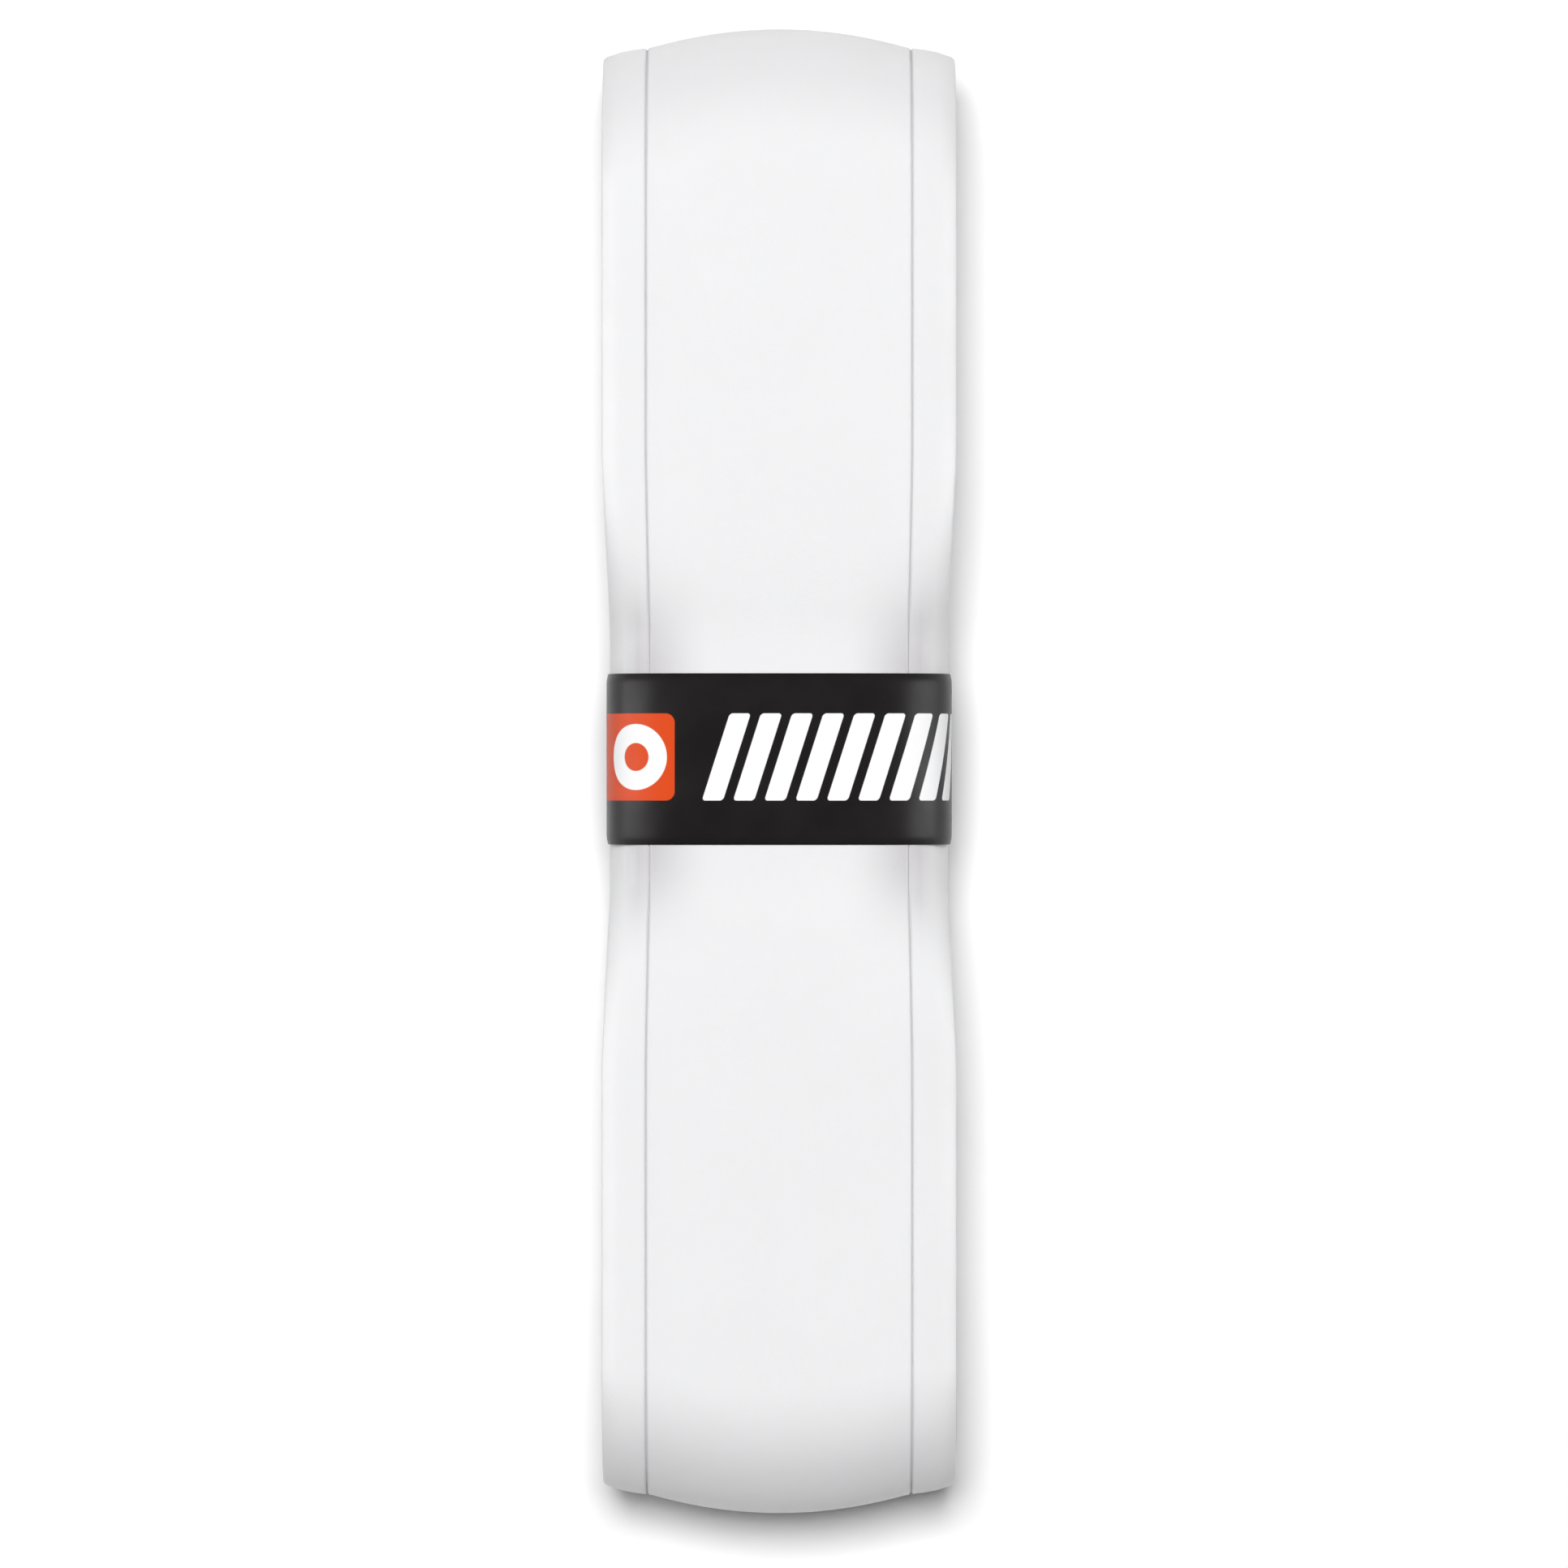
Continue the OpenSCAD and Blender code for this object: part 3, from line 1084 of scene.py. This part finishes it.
@dataclass(frozen=True)
class CastSkin(Finish):
    """Smooth, slightly tacky white polyurethane with a very fine grain."""

    shade: Colour = (0.74, 0.735, 0.745)
    # The colour of the painted shade in the grooves.
    groove_painted_shade: Colour = (0.58, 0.575, 0.585)
    # The colour of the painted shade on the end folds and on the sides beside the sleeve.
    painted_shade: Colour = (0.515, 0.50, 0.515)
    patch_share: float = 0.22
    fold_shade_share: float = 0.235
    groove_shade_share: float = 0.9
    patch_rough: float = 0.07
    clear_gloss: float = 0.03
    edge_gloss: float = 0.06
    grain_scale: float = 5200.0
    grain_height: float = 0.000012

    def lay(self, paint: Paint) -> None:
        """Lays the patches, the painted shade on the folds, beside the sleeve and in the grooves, and
        the grain.

        Args:
            paint: The material's nodes.
        """
        patches = paint.mottle(95.0, 0.22)
        faint = paint.math("MULTIPLY", patches, self.patch_share)
        body = paint.blend(faint, self.colour, self.shade)
        # Painted shade: the skin's colour darkened on the end folds and beside the sleeve.
        fold_shaded = paint.math("MULTIPLY", paint.mask("bend"), self.fold_shade_share)
        shaded = paint.math("MAXIMUM", paint.mask("pinch_shade"), fold_shaded)
        body = paint.blend(shaded, body, self.painted_shade)
        # Painted shade in the grooves.
        groove_shaded = paint.math("MULTIPLY", paint.mask("groove"), self.groove_shade_share)
        least = self.roughness - self.clear_gloss
        rough = paint.math("MULTIPLY_ADD", patches, self.patch_rough, least)
        paint.set(
            Base_Color=paint.blend(groove_shaded, body, self.groove_painted_shade),
            Roughness=paint.math("MULTIPLY_ADD", paint.mask("edge"), -self.edge_gloss, rough),
            Subsurface_Weight=0.12,
            Subsurface_Radius=(1.0, 0.9, 0.85),
            Subsurface_Scale=0.0006,
            Specular_IOR_Level=0.5,
        )
        paint.bump(0.6, self.grain_height, paint.grain(self.grain_scale))


@dataclass(frozen=True)
class Cushion(Finish):
    """Matted light felt under the skin, seen at the tape's edges and its cut ends."""

    deep: Colour = (0.52, 0.51, 0.49)

    def lay(self, paint: Paint) -> None:
        """Lays the fibres.

        Args:
            paint: The material's nodes.
        """
        height, mask = paint.fibre(1500.0)
        colour = paint.blend(mask, self.deep, self.colour)
        paint.set(Base_Color=colour, Sheen_Weight=0.25, Sheen_Roughness=0.6)
        paint.bump(0.9, 0.00008, height)


@dataclass(frozen=True)
class Adhesive(Finish):
    """Clear, slightly yellow pressure-sensitive glue."""

    pale: Colour = (0.80, 0.77, 0.66)

    def lay(self, paint: Paint) -> None:
        """Lays the patches and the gloss.

        Args:
            paint: The material's nodes.
        """
        patches = paint.mottle(600.0, 0.15)
        colour = paint.blend(patches, self.colour, self.pale)
        paint.set(Base_Color=colour, Coat_Weight=0.5, Coat_Roughness=0.15)
        paint.bump(0.5, 0.00003, patches)


@dataclass(frozen=True)
class LinerPaper(Finish):
    """Glazed release paper with faint fibres."""

    fibre_shade: Colour = (0.66, 0.60, 0.46)
    fibre_share: float = 0.3
    patch_rough: float = 0.1

    def lay(self, paint: Paint) -> None:
        """Lays the fibres and the uneven glaze.

        Args:
            paint: The material's nodes.
        """
        height, mask = paint.fibre(700.0)
        share = paint.math("MULTIPLY", mask, self.fibre_share)
        glaze = paint.mottle(200.0, 0.2)
        paint.set(
            Base_Color=paint.blend(share, self.colour, self.fibre_shade),
            Roughness=paint.math("MULTIPLY_ADD", glaze, self.patch_rough, self.roughness),
        )
        paint.bump(0.3, 0.00002, height)


@dataclass(frozen=True)
class PrintedFilm(Finish):
    """Black film printed with an orange tile and a row of leaning white bars."""

    tile: Colour = (0.68, 0.066, 0.008)
    ink: Colour = (0.90, 0.90, 0.91)
    # The colour of the painted shade along the film's rims.
    rim_painted_shade: Colour = (0.003, 0.003, 0.003)
    rim_shade_share: float = 0.35
    patch_share: float = 0.5
    patch_gain: float = 1.5
    patch_rough: float = 0.08
    print_rough: float = 0.1
    print_height: float = 0.012
    print_soft: float = 0.06
    row_mid: float = 0.17
    row_half_h: float = 3.56
    tile_mid: float = -13.3
    tile_half_w: float = 4.75
    tile_corner: float = 0.75
    ring_mid: float = -11.9
    ring_outer: float = 2.7
    ring_inner: float = 1.15
    bars_from: float = -5.585
    bar_step: float = 2.55
    bar_half_w: float = 0.86
    bar_corner: float = 0.28
    bar_lean: float = 0.32
    bars_to: float = 17.0

    def lay(self, paint: Paint) -> None:
        """Lays the film with painted shade along its rims, the tile with its ring, and the bars.

        Args:
            paint: The material's nodes.
        """
        at = tuple(
            paint.math("MULTIPLY_ADD", paint.mask(name), PRINT_SPAN, -PRINT_SPAN / 2)
            for name in ("wrap", "along")
        )
        tile_half = (self.tile_half_w, self.row_half_h)
        tile = self._box(paint, at, self.tile_mid, tile_half, self.tile_corner)
        face = paint.mask("face")
        orange = paint.math("MULTIPLY", tile, face)
        white = paint.math("MAXIMUM", self._bars(paint, at), self._ring(paint, at))
        white = paint.math("MULTIPLY", white, face)
        patches = paint.mottle(260.0, 0.2)
        share = paint.math("MULTIPLY", patches, self.patch_share)
        body = paint.blend(share, self.colour, tuple(c * self.patch_gain for c in self.colour))
        # Painted shade along the rims.
        share = paint.math("MULTIPLY", paint.mask("rim"), self.rim_shade_share)
        body = paint.blend(share, body, self.rim_painted_shade)
        body = paint.blend(orange, body, self.tile)
        printed = paint.math("MAXIMUM", orange, white)
        rough = paint.math("MULTIPLY_ADD", patches, self.patch_rough, self.roughness)
        paint.set(
            Base_Color=paint.blend(white, body, self.ink),
            Roughness=paint.math("MULTIPLY_ADD", printed, self.print_rough, rough),
            Specular_IOR_Level=0.3,
        )
        waves = paint.add("TexNoise", Vector=paint.at, Scale=70.0, Detail=2.0).outputs["Fac"]
        height = paint.math("MULTIPLY_ADD", printed, self.print_height, waves)
        paint.bump(0.25, 0.0004, height)

    def _box(self, paint: Paint, at: tuple[Socket, Socket], mid: float,
             half: tuple[float, float], corner: float) -> Socket:
        """The mask of one printed box in the row.

        Args:
            paint: The material's nodes.
            at: The place across and along the hank, in millimetres.
            mid: The box's middle across the hank.
            half: Its half-width and half-height.
            corner: The radius of its corners.

        Returns:
            The mask, 1 inside.
        """
        return paint.add(
            "Group", {"node_tree": paint.book.rounded_box}, Across=at[0], Along=at[1],
            Mid_Across=mid, Mid_Along=self.row_mid, Half_Width=half[0], Half_Height=half[1],
            Corner=corner, Soft=self.print_soft,
        ).outputs["Mask"]

    def _bars(self, paint: Paint, at: tuple[Socket, Socket]) -> Socket:
        """The mask of the leaning bars: one bar, repeated by wrapping its coordinate.

        Args:
            paint: The material's nodes.
            at: The place across and along the hank, in millimetres.

        Returns:
            The mask, 1 inside a bar.
        """
        above_mid = paint.math("SUBTRACT", at[1], self.row_mid)
        upright = paint.math("SUBTRACT", at[0], paint.math("MULTIPLY", above_mid, self.bar_lean))
        from_first = paint.math("SUBTRACT", upright, self.bars_from)
        in_step = paint.math("FLOORED_MODULO", from_first, self.bar_step)
        bar_half = (self.bar_half_w, self.row_half_h)
        bar = self._box(paint, (in_step, at[1]), self.bar_step / 2, bar_half, self.bar_corner)
        after = paint.math("GREATER_THAN", from_first, 0.0)
        steps = round((self.bars_to - self.bars_from) / self.bar_step)
        before = paint.math("LESS_THAN", from_first, steps * self.bar_step)
        return paint.math("MULTIPLY", bar, paint.math("MULTIPLY", after, before))

    def _ring(self, paint: Paint, at: tuple[Socket, Socket]) -> Socket:
        """The mask of the plain ring on the tile.

        Args:
            paint: The material's nodes.
            at: The place across and along the hank, in millimetres.

        Returns:
            The mask, 1 on the ring.
        """
        radii = (self.ring_outer, self.ring_inner)
        disc, hole = (self._box(paint, at, self.ring_mid, (r, r), r) for r in radii)
        return paint.math("SUBTRACT", disc, hole)


@dataclass(frozen=True)
class StripFilm(Finish):
    """Satin black tape film with a fine grain."""

    patch_gain: float = 1.7

    def lay(self, paint: Paint) -> None:
        """Lays the patches and the grain.

        Args:
            paint: The material's nodes.
        """
        lighter = tuple(c * self.patch_gain for c in self.colour)
        colour = paint.blend(paint.mottle(300.0, 0.2), self.colour, lighter)
        paint.set(Base_Color=colour)
        paint.bump(0.4, 0.00003, paint.grain(2600.0))


@dataclass
class Wardrobe:
    """Every finish of the object, made once."""

    book: GroupBook

    def dress(self, piece: Piece, finish: Finish) -> None:
        """Gives a piece its finish, reusing a material that was made before.

        Args:
            piece: What is dressed.
            finish: What it wears.
        """
        made = bpy.data.materials.get(finish.name) or finish.make(self.book)
        piece.data.materials.clear()
        piece.data.materials.append(made)


SKIN = CastSkin("cast_skin", (0.80, 0.80, 0.81), 0.42)
FELT = Cushion("felt_cushion", (0.70, 0.69, 0.66), 0.95)
GLUE = Adhesive("clear_adhesive", (0.70, 0.66, 0.52), 0.3)
PAPER = LinerPaper("release_paper", (0.80, 0.75, 0.60), 0.42)
FILM = PrintedFilm("printed_film", (0.0095, 0.008, 0.0085), 0.38)
STRIP = StripFilm("strip_film", (0.018, 0.018, 0.02), 0.4)


# ---- studio


class LightUse(Enum):
    """What a light gives: shade on matt faces, shine on glossy ones."""

    SHADE = "shade"
    SHINE = "shine"


@dataclass(frozen=True)
class SoftLight:
    """A rectangular soft light."""

    name: str
    place: tuple[float, float, float]
    size: tuple[float, float]
    power: float
    use: LightUse


@dataclass
class Studio:
    """A pale floor, soft lights and a camera straight above the hank."""

    view_size: float = 0.1297
    lens: float = 200.0
    aside: tuple[float, float] = (0.0004, -0.0011)
    tip_z: float = 0.0095
    sky: float = 0.09
    floor_half: float = 1.5
    lights: tuple[SoftLight, ...] = (
        SoftLight("key", (-0.045, 0.245, 1.2), (0.42, 0.42), 16.4, LightUse.SHADE),
        SoftLight("left_box", (-0.85, 0.0, 0.38), (0.25, 0.9), 4.6, LightUse.SHINE),
        SoftLight("right_box", (0.85, 0.0, 0.38), (0.25, 0.9), 4.6, LightUse.SHINE),
    )

    def build_floor(self) -> None:
        """Makes the floor, a broad flat sheet."""
        size = self.floor_half
        mesh = bpy.data.meshes.new("floor")
        corners = [(-size, -size, 0), (size, -size, 0), (size, size, 0), (-size, size, 0)]
        mesh.from_pydata(corners, [], [(0, 1, 2, 3)])
        floor = bpy.data.objects.new("floor", mesh)
        bpy.context.scene.collection.objects.link(floor)
        made = bpy.data.materials.new("pale_floor")
        made.use_nodes = True
        shader = made.node_tree.nodes["Principled BSDF"]
        shader.inputs["Base Color"].default_value = (0.93, 0.93, 0.93, 1)
        shader.inputs["Roughness"].default_value = 0.9
        shader.inputs["Specular IOR Level"].default_value = 0.1
        mesh.materials.append(made)
        floor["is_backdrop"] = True

    def build_light(self, light: SoftLight) -> None:
        """Adds one soft light that points at the object.

        Args:
            light: Its place, size, power and use.
        """
        data = bpy.data.lights.new(light.name, "AREA")
        data.shape = "RECTANGLE"
        data.size, data.size_y = light.size
        data.energy = light.power
        lamp = bpy.data.objects.new(light.name, data)
        bpy.context.scene.collection.objects.link(lamp)
        lamp.location = light.place
        lamp.rotation_mode = "QUATERNION"
        lamp.rotation_quaternion = (-Vector(light.place)).to_track_quat("-Z", "Y")
        lamp.visible_glossy = light.use is not LightUse.SHADE
        lamp.visible_diffuse = light.use is not LightUse.SHINE

    def build_camera(self) -> None:
        """Adds the camera, its frame as wide as view_size at the height of the fold tips."""
        data = bpy.data.cameras.new("camera")
        data.lens = self.lens
        camera = bpy.data.objects.new("camera", data)
        bpy.context.scene.collection.objects.link(camera)
        distance = self.view_size / 2 / (data.sensor_width / 2 / self.lens)
        camera.location = (*self.aside, self.tip_z + distance)
        data.clip_start, data.clip_end = 0.01, 10.0
        bpy.context.scene.camera = camera

    def build(self) -> None:
        """Sets up the sky, the floor, the lights and the camera."""
        scene = bpy.context.scene
        scene.view_settings.view_transform = "Standard"
        world = bpy.data.worlds.new("studio")
        world.use_nodes = True
        world.node_tree.nodes["Background"].inputs["Color"].default_value = (1, 1, 1, 1)
        world.node_tree.nodes["Background"].inputs["Strength"].default_value = self.sky
        scene.world = world
        self.build_floor()
        for light in self.lights:
            self.build_light(light)
        self.build_camera()


# ---- main


def main() -> None:
    """Builds the studio and every sub-assembly, then reports the pieces."""
    logging.basicConfig(level=logging.INFO, format="%(name)s: %(message)s")
    Studio().build()
    _, skin_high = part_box("grip_skin")
    half_h = skin_high.z / MM / 2
    laminate = Laminate(half_w=skin_high.x / MM)
    sleeve = PrintedSleeve(*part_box("label_band"), mid_z=half_h)
    waist = Waist(
        mid_y=sleeve.mid_y,
        half_l=sleeve.half_l + PINCH_PAST_SLEEVE,
        half_w=laminate.half_w,
        half_h=half_h,
    )
    tape = WoundTape(laminate, waist, tip_y=skin_high.y / MM, half_h=half_h)
    wardrobe = Wardrobe(GroupBook())
    for assembly in (tape, sleeve, FinishingStrip()):
        assembly.dress(assembly.build(), wardrobe)
    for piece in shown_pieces():
        LOG.info("%s: %d faces", piece.name, len(piece.data.polygons))


if __name__ == "__main__":
    main()
